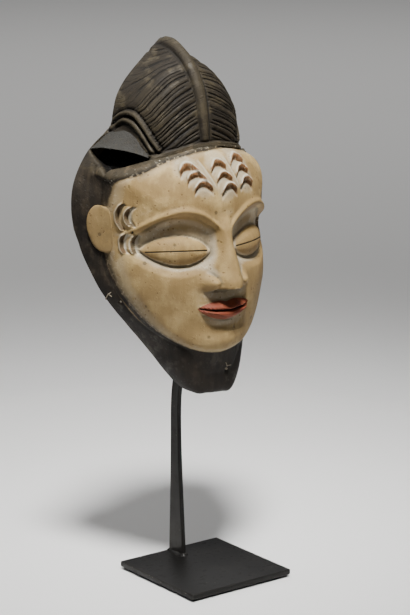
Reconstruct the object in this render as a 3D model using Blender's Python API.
# Punu mask on a steel stand, in metres, +Z up, the mask facing -Y.
# The origin is the centre of the stand's underside.
import bpy
import bmesh
import numpy as np
from math import cos, pi, radians
from mathutils import Vector

# Stand
plateSide = 0.100
plateThick = 0.0045
plateBevel = 0.0006
feltThick = 0.0020
feltInset = 0.0020
gap = 0.0003
postThick = 0.0042
postFootDepth = 0.0185
postNeckDepth = 0.0098
postEndDepth = 0.0080
postNeckZ = 0.125
postTopZ = 0.3374

# Mask, measured forward from its back plane and outward from its midline
backPlaneY = 0.059
faceCentreZ = 0.275
faceDepth = 0.0835
faceFullness = 2.0
edgeStep = 0.0030
hollowInset = 0.0060
blockThick = 0.0140
hollowDepth = 0.0680
hollowFullness = 2.2
bandWidth = 0.0048
bandHeight = 0.0018
bandEndAngle = radians(130.0)
pocketDepth = 0.0090
hairSwell = 0.0026
frontRings = 20
faceRings = 12
backRings = 7
fineFace = 0.76
smoothFace = 0.80
smoothPasses = 2

# Carving
ridgeRadius = 0.0075
ridgeHeight = 0.0045
cordRadius = 0.0021
cordHeight = 0.0018
scarRadius = 0.0019
scarHeight = 0.0015
scarColumns = (-0.0215, 0.0010, 0.0235)
scarRows = (0.3450, 0.3370, 0.3290)
scarHalfWidth = 0.0060
scarRise = 0.0028
grooveRadius = 0.0016
grooveLowest = 0.3700
grooveHighest = 0.4250
grooveCount = 9
slitRadius = 0.0010
mouthRadius = 0.0015
earHalfHeight = 0.0188
earCentreZ = 0.2925
earReach = 0.0112
earThick = 0.0040

# Outer edge of the wing over each ear and the foot of the crest above it
wingEdge = (
    (0.0698, 0.3535, 0.0003),
    (0.0665, 0.3558, 0.0145),
    (0.0585, 0.3548, 0.0285),
    (0.0505, 0.3522, 0.0380),
    (0.0450, 0.3496, 0.0440),
)
wingFoot = (
    (0.0470, 0.3670, 0.0003),
    (0.0470, 0.3683, 0.0160),
    (0.0450, 0.3650, 0.0290),
    (0.0430, 0.3590, 0.0380),
    (0.0420, 0.3530, 0.0440),
)

# Cords over each wing: depth and height along the crest's side
outerCord = (
    (0.0040, 0.3750),
    (0.0108, 0.3796),
    (0.0198, 0.3821),
    (0.0265, 0.3811),
    (0.0343, 0.3759),
    (0.0413, 0.3684),
    (0.0466, 0.3613),
    (0.0505, 0.3560),
)
innerCord = (
    (0.0035, 0.3685),
    (0.0097, 0.3737),
    (0.0164, 0.3762),
    (0.0243, 0.3748),
    (0.0340, 0.3683),
    (0.0415, 0.3602),
    (0.0465, 0.3545),
)

# Half outline of the painted face: sideways, height, depth, from chin to hairline
faceEdge = (
    (0.0000, 0.1925, 0.0790),
    (0.0200, 0.1960, 0.0765),
    (0.0370, 0.2045, 0.0680),
    (0.0510, 0.2180, 0.0555),
    (0.0620, 0.2360, 0.0410),
    (0.0690, 0.2570, 0.0290),
    (0.0710, 0.2800, 0.0225),
    (0.0715, 0.3030, 0.0200),
    (0.0708, 0.3230, 0.0210),
    (0.0690, 0.3365, 0.0240),
    (0.0600, 0.3410, 0.0350),
    (0.0480, 0.3455, 0.0455),
    (0.0370, 0.3490, 0.0520),
    (0.0220, 0.3525, 0.0575),
    (0.0000, 0.3545, 0.0600),
)

# Half outline of the rim: sideways, height, depth, from the block under the chin to the crest
rimEdge = (
    (0.0000, 0.1600, 0.0565),
    (0.0080, 0.1594, 0.0565),
    (0.0150, 0.1582, 0.0560),
    (0.0205, 0.1615, 0.0535),
    (0.0315, 0.1747, 0.0480),
    (0.0405, 0.1905, 0.0395),
    (0.0500, 0.2055, 0.0320),
    (0.0595, 0.2200, 0.0250),
    (0.0680, 0.2340, 0.0185),
    (0.0750, 0.2500, 0.0120),
    (0.0830, 0.2775, 0.0030),
    (0.0867, 0.2937, 0.0000),
    (0.0883, 0.3101, 0.0000),
    (0.0862, 0.3259, 0.0000),
    (0.0793, 0.3412, 0.0000),
    (0.0695, 0.3538, 0.0000),
    (0.0590, 0.3620, 0.0000),
    (0.0500, 0.3700, 0.0000),
    (0.0480, 0.3770, 0.0000),
    (0.0435, 0.3934, 0.0000),
    (0.0364, 0.4043, 0.0000),
    (0.0290, 0.4120, 0.0000),
    (0.0200, 0.4200, 0.0000),
    (0.0114, 0.4275, 0.0000),
    (0.0000, 0.4354, 0.0000),
)


def makeMaterial(name, colour, roughness, metallic=0.0):
    material = bpy.data.materials.new(name)
    material.use_nodes = True
    shader = material.node_tree.nodes["Principled BSDF"]
    shader.inputs["Base Color"].default_value = (*colour, 1.0)
    shader.inputs["Roughness"].default_value = roughness
    shader.inputs["Metallic"].default_value = metallic
    material.diffuse_color = (*colour, 1.0)
    return material


def addObject(name, mesh, material):
    part = bpy.data.objects.new(name, mesh)
    bpy.context.scene.collection.objects.link(part)
    if material:
        mesh.materials.append(material)
    return part


def finishMesh(bm, name):
    bmesh.ops.remove_doubles(bm, verts=bm.verts, dist=0.000005)
    bmesh.ops.recalc_face_normals(bm, faces=bm.faces)
    mesh = bpy.data.meshes.new(name)
    bm.to_mesh(mesh)
    bm.free()
    return mesh


def throughStations(known, values, at):
    # Monotone cubic curve through the stations
    known = np.asarray(known, float)
    values = np.asarray(values, float)
    run = np.diff(known)
    rise = np.diff(values) / run
    slope = np.zeros(len(known))
    same = rise[1:] * rise[:-1] > 0
    product = 2 * rise[1:] * rise[:-1]
    total = np.where(same, rise[1:] + rise[:-1], 1.0)
    slope[1:-1] = np.where(same, product / total, 0.0)
    slope[0] = rise[0]
    slope[-1] = rise[-1]
    index = np.clip(np.searchsorted(known, at) - 1, 0, len(run) - 1)
    t = np.clip((at - known[index]) / run[index], 0.0, 1.0)
    left = (1 + 2 * t) * (1 - t) ** 2 * values[index] + t * (1 - t) ** 2 * run[index] * slope[index]
    right = t * t * (3 - 2 * t) * values[index + 1] - t * t * (1 - t) * run[index] * slope[index + 1]
    return left + right


def outlineAt(stations, angle):
    # Radius and depth of a half outline at an angle from straight down
    side, height, depth = np.array(stations).T
    known = np.arctan2(side, faceCentreZ - height)
    radius = np.hypot(side, faceCentreZ - height)
    return throughStations(known, radius, angle), throughStations(known, depth, angle)


def smoothStep(low, high, value):
    t = np.clip((value - low) / (high - low), 0.0, 1.0)
    return t * t * (3 - 2 * t)


def mound(x, z, centre, spread):
    return np.exp(-((x - centre[0]) / spread[0]) ** 2 - ((z - centre[1]) / spread[1]) ** 2)


def formPower(turn):
    # How square the section is: 2 is a straight slope, 1 an ellipse, less is fuller
    block = 1 - smoothStep(radians(6), radians(38), turn)
    hair = smoothStep(radians(143), radians(160), turn)
    top = smoothStep(radians(165), pi, turn)
    return 2.0 - 1.75 * block - 1.27 * hair + 0.14 * top


def baseForm(angle, ring):
    # Smooth form: ring 0 to 1 is the face, 1 to 2 the border and the crest
    turn = np.abs(angle)
    faceRadius, edgeDepth = outlineAt(faceEdge, turn)
    rimRadius, rimDepth = outlineAt(rimEdge, turn)
    inside = np.clip(ring, 0.0, 1.0)
    outside = np.clip(ring - 1.0, 0.0, 1.0) * pi / 2
    power = formPower(turn)
    stepped = edgeStep * (1 - smoothStep(bandEndAngle - 0.1, bandEndAngle, turn))
    lowered = edgeDepth - stepped * smoothStep(1.0, 1.05, ring)
    radius = np.where(ring <= 1.0, faceRadius * inside,
                      faceRadius + (rimRadius - faceRadius) * np.sin(outside) ** power)
    dome = (1 - inside ** faceFullness) ** (1 / faceFullness)
    depth = np.where(ring <= 1.0, edgeDepth + (faceDepth - edgeDepth) * dome,
                     rimDepth + (lowered - rimDepth) * np.cos(outside) ** power)
    x = radius * np.sin(angle)
    z = faceCentreZ - radius * np.cos(angle)
    return np.stack([x, depth, z], -1)


def formNormal(angle, ring):
    # Normal of the smooth form from two short steps
    step = 0.002
    around = baseForm(angle + step, ring) - baseForm(angle - step, ring)
    inner = np.clip(ring - step, 0.0, 2.0)
    outer = np.clip(ring + step, 0.0, 2.0)
    outward = baseForm(angle, outer) - baseForm(angle, inner)
    normal = np.cross(around, outward)
    length = np.linalg.norm(normal, axis=-1, keepdims=True)
    return np.where(length > 1e-12, normal / np.maximum(length, 1e-12), np.array([0.0, 1.0, 0.0]))


def faceRelief(x, z):
    # Height of the carved features of the face over its dome
    side = np.abs(x)
    height = 0.0045 * mound(side, z, (0.0, 0.322), (0.048, 0.022))
    height += 0.0030 * mound(side, z, (0.038, 0.252), (0.022, 0.018))
    height += 0.0050 * mound(side, z, (0.0, 0.228), (0.030, 0.018))
    height += 0.0070 * mound(side, z, (0.0, 0.204), (0.022, 0.011))
    browZ = 0.3060 - ((side - 0.033) / 0.030) ** 2 * 0.0150
    socket = ((side - 0.036) / 0.033) ** 2 + ((z - 0.2820) / 0.0210) ** 2
    height -= 0.0060 * (1 - smoothStep(0.20, 1.20, socket))
    onBrow = smoothStep(0.004, 0.009, side) * (1 - smoothStep(0.056, 0.064, side))
    height += 0.0026 * np.exp(-((z - browZ) / 0.0046) ** 2) * onBrow
    lid = ((side - 0.036) / 0.0245) ** 2 + ((z - 0.2780) / 0.0105) ** 2
    height += 0.0075 * (1 - smoothStep(0.10, 1.45, lid))
    along = np.clip((0.2940 - z) / 0.0400, 0.0, 1.0)
    wide = 0.0065 + 0.0060 * along
    bridge = np.exp(-(side / wide) ** 2) * (0.0060 + 0.0130 * along)
    above = smoothStep(0.2430, 0.2540, z) * (1 - smoothStep(0.2900, 0.3060, z))
    nose = bridge * above
    nose = np.maximum(nose, 0.0125 * mound(side, z, (0.0115, 0.2535), (0.0085, 0.0070)))
    height += nose
    lip = 1 - (side / 0.0250) ** 2
    upper = smoothStep(0.0, 1.0, np.clip(lip, 0.0, 1.0))
    height += 0.0065 * np.exp(-((z - 0.2350) / 0.0048) ** 2) * upper
    height += 0.0060 * np.exp(-((z - 0.2250) / 0.0050) ** 2) * upper
    return height


def underWing(turn, ring):
    # 1 in the hollow under the wing over each ear, 0 outside it
    edge = radians(129.5) + (ring - 1.1) * radians(10)
    inside = smoothStep(0.0, radians(3), turn - edge)
    inside *= smoothStep(1.06, 1.20, ring) * (1 - smoothStep(1.80, 1.95, ring))
    return inside * (1 - smoothStep(radians(146), radians(151), turn))


def carvedPoint(angle, ring):
    # The smooth form pushed along its normal by the carving
    base = baseForm(angle, ring)
    normal = formNormal(angle, ring)
    height = faceRelief(base[..., 0], base[..., 2]) * (1 - smoothStep(0.90, 1.0, ring))
    turn = np.abs(angle)
    faceRadius, _ = outlineAt(faceEdge, turn)
    reach = np.hypot(base[..., 0], base[..., 2] - faceCentreZ) - faceRadius
    inBand = np.clip(1 - ((reach - bandWidth / 2) / (bandWidth / 2)) ** 2, 0.0, 1.0)
    isBand = smoothStep(bandEndAngle - 0.03, bandEndAngle, turn) * (ring > 0.999)
    height = height + bandHeight * np.sqrt(inBand) * isBand
    swell = hairSwell * mound(np.abs(base[..., 0]), base[..., 2], (0.021, 0.404), (0.013, 0.024))
    height = height + swell * smoothStep(1.02, 1.20, ring) * (1 - smoothStep(1.70, 1.95, ring))
    height = height - pocketDepth * underWing(turn, ring)
    return base + normal * height[..., None]


def toWorld(point):
    return Vector((point[0], backPlaneY - point[1], point[2]))


def ringAt(x, z):
    # Angle and ring of the surface point seen from the front at x, z
    angle = np.arctan2(x, faceCentreZ - z)
    turn = np.abs(angle)
    radius = np.hypot(x, z - faceCentreZ)
    faceRadius, _ = outlineAt(faceEdge, turn)
    rimRadius, _ = outlineAt(rimEdge, turn)
    share = np.clip((radius - faceRadius) / (rimRadius - faceRadius), 0.0, 1.0)
    beyond = np.arcsin(share ** (1 / formPower(turn))) / (pi / 2)
    return angle, np.where(radius <= faceRadius, radius / faceRadius, 1.0 + beyond)


def sidePoint(depth, height, side):
    # Surface point on the crest's side at a depth and a height
    low = radians(110)
    high = radians(179)
    for _ in range(30):
        turn = 0.5 * (low + high)
        _, edgeDepth = outlineAt(faceEdge, turn)
        _, rimDepth = outlineAt(rimEdge, turn)
        share = np.clip((depth - rimDepth) / (edgeDepth - rimDepth), 0.0, 1.0)
        ring = 1.0 + np.arccos(share ** (1 / formPower(turn))) / (pi / 2)
        point = baseForm(turn, ring)
        if point[2] > height:
            high = turn
        else:
            low = turn
    return side * turn, ring


def liftedPath(places, radius, height, taper=1.0):
    # Centres and radii of a round tube that stands a height proud of the surface
    path = []
    last = len(places) - 1
    for number, (angle, ring) in enumerate(places):
        ends = 1.0 if 0 < number < last else taper
        surface = carvedPoint(np.array(angle), np.array(ring))
        normal = formNormal(np.array(angle), np.array(ring))
        centre = surface + normal * (height - radius)
        path.append((toWorld(centre), radius * ends))
    return path


def frontPath(points, radius, height, taper=1.0):
    return liftedPath([ringAt(x, z) for x, z in points], radius, height, taper)


def squareToRing(u, v):
    # A square grid as rings: the ring's number and the angle from straight down
    ring = np.maximum(np.abs(u), np.abs(v))
    safe = np.maximum(ring, 1e-9)
    share = np.where(np.abs(v) >= np.abs(u), u / safe, v / safe) * pi / 4
    angle = np.where(np.abs(v) >= np.abs(u),
                     np.where(v < 0, share, np.sign(u + 1e-12) * pi - share),
                     np.where(u > 0, pi / 2 + share, -pi / 2 - share))
    return ring, angle


def frontRing(level):
    # Rings packed at the face's edge and the hairline band
    share = level * frontRings
    outer = (0.0, 0.05, 0.14, 0.26, 0.40, 0.54, 0.68, 0.83, 1.0)
    beyond = np.interp(share - faceRings, np.arange(len(outer)), outer)
    return np.where(share <= faceRings, share / faceRings, 1.0 + beyond)


def makeFront(bm):
    bmesh.ops.create_grid(bm, x_segments=2 * frontRings, y_segments=2 * frontRings, size=1.0)
    fine = fineFace * faceRings / frontRings
    inner = [edge for edge in bm.edges if max(abs(c) for vert in edge.verts for c in vert.co) < fine]
    bmesh.ops.subdivide_edges(bm, edges=inner, cuts=1, use_grid_fill=True)
    verts = list(bm.verts)
    flat = np.array([vert.co[:2] for vert in verts])
    level, angle = squareToRing(flat[:, 0], flat[:, 1])
    points = carvedPoint(angle, frontRing(level))
    for vert, point in zip(verts, points):
        vert.co = toWorld(point)
    features = [vert for vert, place in zip(verts, level) if place < smoothFace * faceRings / frontRings]
    for _ in range(smoothPasses):
        bmesh.ops.smooth_vert(bm, verts=features, factor=0.5, use_axis_x=True, use_axis_y=True, use_axis_z=True)
    return verts


def hollowPoint(angle, level):
    # Level 1 is the inner edge of the flat rim, level 0 the middle of the hollow's ceiling
    turn = np.abs(angle)
    rimRadius, rimDepth = outlineAt(rimEdge, turn)
    faceRadius, _ = outlineAt(faceEdge, turn)
    block = 1 - smoothStep(radians(10), radians(50), turn)
    reach = (faceRadius - hollowInset) * (1 - block) + (rimRadius - blockThick) * block
    dome = (1 - level ** hollowFullness) ** (1 / hollowFullness)
    radius = reach * level
    x = radius * np.sin(angle)
    z = faceCentreZ - radius * np.cos(angle)
    depth = rimDepth + (hollowDepth - rimDepth) * dome
    return np.stack([x, depth, z], -1)


def makeBack(bm):
    grid = bmesh.ops.create_grid(bm, x_segments=2 * backRings, y_segments=2 * backRings, size=1.0)
    verts = grid["verts"]
    flat = np.array([vert.co[:2] for vert in verts])
    level, angle = squareToRing(flat[:, 0], flat[:, 1])
    points = hollowPoint(angle, level)
    for vert, point in zip(verts, points):
        vert.co = toWorld(point)
    return verts


def loopEdges(verts):
    return [edge for edge in {edge for vert in verts for edge in vert.link_edges} if edge.is_boundary]


def tubeMesh(name, paths, roundness):
    # Round tubes with filled caps, each a list of points and radii
    curve = bpy.data.curves.new(name, "CURVE")
    curve.dimensions = "3D"
    curve.bevel_depth = 1.0
    curve.bevel_resolution = roundness
    curve.use_fill_caps = True
    for path in paths:
        spline = curve.splines.new("POLY")
        spline.points.add(len(path) - 1)
        for point, (place, radius) in zip(spline.points, path):
            point.co = (*place, 1.0)
            point.radius = radius
    holder = bpy.data.objects.new(name, curve)
    bpy.context.scene.collection.objects.link(holder)
    bpy.context.view_layer.update()
    mesh = bpy.data.meshes.new_from_object(holder.evaluated_get(bpy.context.evaluated_depsgraph_get()))
    bpy.data.objects.remove(holder)
    bm = bmesh.new()
    bm.from_mesh(mesh)
    return finishMesh(bm, name)


def closedLoft(bm, sections):
    # Closed tube through sections of equal point counts, with flat ends
    count = len(sections[0])
    grid = bmesh.ops.create_grid(bm, x_segments=count, y_segments=len(sections) - 1, size=0.5)
    verts = grid["verts"]
    for vert in verts:
        column = round((vert.co.x + 0.5) * count)
        row = round((vert.co.y + 0.5) * (len(sections) - 1))
        vert.co = sections[row][column % count]
    bmesh.ops.remove_doubles(bm, verts=verts, dist=0.000005)
    openEdges = [edge for edge in bm.edges if edge.is_boundary]
    bmesh.ops.holes_fill(bm, edges=openEdges, sides=0)


def wingSections(side):
    sections = []
    for edge, foot in zip(wingEdge, wingFoot):
        edge = np.array((side * edge[0], edge[2], edge[1]))
        foot = np.array((side * foot[0], foot[2], foot[1]))
        inward = np.array((-side * 0.010, -0.006 * (foot[1] > 0.02), -0.002))
        lower = edge + np.array((-side * 0.0005, 0.0, -0.0008))
        under = lower + np.array((-side * 0.0170, -0.012 * (foot[1] > 0.02), 0.001))
        section = (edge, foot, foot + inward, under, lower)
        sections.append([toWorld(np.array((p[0], max(p[1], 0.0003), p[2]))) for p in section])
    return sections


def earSections(side):
    sections = []
    for step in range(7):
        share = cos(pi * (step + 0.35) / 6.7)
        height = earCentreZ + earHalfHeight * share
        turn = np.arctan2(0.0735, faceCentreZ - height)
        inner = baseForm(side * turn, 1.06)
        outer = baseForm(side * turn, 1.90)
        along = (outer - inner) / np.linalg.norm(outer - inner)
        normal = formNormal(side * turn, 1.5)
        reach = earReach * np.sqrt(1 - share * share) + 0.0004
        corners = ((-0.004, -0.004), (-0.004, earThick), (reach, earThick - 0.0004), (reach, -0.003))
        sections.append([toWorld(inner + along * a + normal * n) for a, n in corners])
    return sections


def hairDrop(side):
    # Fall of a groove below its start at the ridge, by distance from the midline
    return 0.34 * side + 4.5 * side * side + 0.010 * (side / 0.046) ** 8


def groovePaths():
    paths = []
    for start in np.linspace(grooveLowest, grooveHighest, grooveCount):
        for side in (-1, 1):
            points = []
            for across in np.linspace(0.0085, 0.0400, 6):
                height = start - hairDrop(across)
                angle, ring = ringAt(side * across, height)
                if ring > 1.10:
                    points.append((side * across, height))
            if len(points) > 2:
                paths.append(frontPath(points, grooveRadius, grooveRadius * 0.8, 0.4))
    return paths


def slitPaths():
    paths = []
    for side in (-1, 1):
        points = [(side * (0.036 + 0.0205 * t), 0.2785 - 0.0012 * t * t) for t in np.linspace(-1, 1, 5)]
        paths.append(frontPath(points, slitRadius, slitRadius * 0.8, 0.5))
    mouth = [(0.0215 * t, 0.2300 + 0.0012 * t * t) for t in np.linspace(-1, 1, 7)]
    paths.append(frontPath(mouth, mouthRadius, mouthRadius * 0.3, 0.4))
    return paths


def scarPaths():
    paths = []
    for column in scarColumns:
        for row in scarRows:
            points = [(column + scarHalfWidth * t, row - scarRise * t * t) for t in np.linspace(-1, 1, 4)]
            paths.append(frontPath(points, scarRadius, scarHeight, 0.6))
    return paths


def templePaths():
    # Two rows of two hooked marks on each temple
    paths = []
    for side in (-1, 1):
        for centre, tall in (((0.0693, 0.3060), 0.0062), ((0.0655, 0.3060), 0.0055),
                             ((0.0680, 0.2840), 0.0052), ((0.0635, 0.2830), 0.0048)):
            bow = 0.0016
            points = [(side * (centre[0] - bow * t * t), centre[1] + tall * t) for t in np.linspace(-1, 1, 4)]
            paths.append(frontPath(points, scarRadius * 0.9, scarHeight, 0.6))
    return paths


def ridgePath():
    places = [(pi, ring) for ring in np.linspace(1.03, 1.985, 14)]
    return liftedPath(places, ridgeRadius, ridgeHeight, 0.8)


def cordPath(stations, side):
    places = [sidePoint(depth, height, side) for depth, height in stations]
    return liftedPath(places, cordRadius, cordHeight, 0.8)


def bulkMesh():
    bm = bmesh.new()
    for side in (-1, 1):
        closedLoft(bm, wingSections(side))
        closedLoft(bm, earSections(side))
    return finishMesh(bm, "wings_and_ears")


def addTool(target, mesh, operation):
    tool = addObject(mesh.name, mesh, None)
    tool.hide_render = True
    tool.display_type = "WIRE"
    modifier = target.modifiers.new(mesh.name, "BOOLEAN")
    modifier.operation = operation
    modifier.solver = "EXACT"
    modifier.object = tool


def settleTools(target):
    # Keeps the carved result as the object's own mesh, with crisp carved edges
    bpy.context.view_layer.update()
    carved = target.evaluated_get(bpy.context.evaluated_depsgraph_get())
    mesh = bpy.data.meshes.new_from_object(carved)
    tools = [modifier.object for modifier in target.modifiers]
    target.modifiers.clear()
    target.data = mesh
    for tool in tools:
        bpy.data.objects.remove(tool)
    mesh.shade_smooth()
    mesh.set_sharp_from_angle(angle=radians(32))


def makeMask(material):
    bm = bmesh.new()
    front = makeFront(bm)
    edges = loopEdges(front)
    back = makeBack(bm)
    bmesh.ops.bridge_loops(bm, edges=edges + loopEdges(back))
    mesh = finishMesh(bm, "mask")
    mesh.shade_smooth()
    mask = addObject("mask", mesh, material)
    addTool(mask, bulkMesh(), "UNION")
    outer = [cordPath(outerCord, side) for side in (-1, 1)]
    inner = [cordPath(innerCord, side) for side in (-1, 1)]
    addTool(mask, tubeMesh("ridge_and_outer_cords", [ridgePath()] + outer, 1), "UNION")
    addTool(mask, tubeMesh("inner_cords_and_scars", inner + scarPaths() + templePaths(), 0), "UNION")
    addTool(mask, tubeMesh("grooves", groovePaths() + slitPaths(), 0), "DIFFERENCE")
    settleTools(mask)
    return mask


def makePost(material):
    # Height, centre and depth of the flat bar from the plate up into the hollow
    foot = feltThick + plateThick + 2 * gap
    stations = (
        (foot, 0.0380, postFootDepth),
        (postNeckZ, 0.0396, postNeckDepth),
        (0.1400, 0.0392, postNeckDepth),
        (0.1540, 0.0372, postNeckDepth),
        (0.1700, 0.0335, postNeckDepth),
        (postTopZ, 0.0250, postEndDepth),
    )
    sections = []
    for height, centre, depth in stations:
        half = postThick / 2
        corners = ((-half, -depth / 2), (half, -depth / 2), (half, depth / 2), (-half, depth / 2))
        sections.append([Vector((x, centre + y, height)) for x, y in corners])
    bm = bmesh.new()
    closedLoft(bm, sections)
    return addObject("post", finishMesh(bm, "post"), material)


def makePlate(material):
    bm = bmesh.new()
    bmesh.ops.create_cube(bm, size=1.0)
    bmesh.ops.scale(bm, verts=bm.verts, vec=(plateSide, plateSide, plateThick))
    bmesh.ops.bevel(bm, geom=bm.edges, offset=plateBevel, affect="EDGES", segments=1, profile=0.5, material=-1)
    bmesh.ops.translate(bm, verts=bm.verts, vec=(0, 0, feltThick + gap + plateThick / 2))
    return addObject("base_plate", finishMesh(bm, "base_plate"), material)


def makeFelt(material):
    side = plateSide - 2 * feltInset
    bm = bmesh.new()
    bmesh.ops.create_cube(bm, size=1.0)
    bmesh.ops.scale(bm, verts=bm.verts, vec=(side, side, feltThick))
    bmesh.ops.translate(bm, verts=bm.verts, vec=(0, 0, feltThick / 2))
    return addObject("felt_liner", finishMesh(bm, "felt_liner"), material)


def clearScene():
    for existing in list(bpy.data.objects):
        bpy.data.objects.remove(existing, do_unlink=True)


def buildPart():
    clearScene()
    wood = makeMaterial("carved_wood", (0.10, 0.08, 0.06), 0.7)
    steel = makeMaterial("black_steel", (0.02, 0.02, 0.02), 0.45, 0.6)
    felt = makeMaterial("dark_felt", (0.01, 0.01, 0.01), 0.95)
    makeFelt(felt)
    makePlate(steel)
    makePost(steel)
    makeMask(wood)


buildPart()
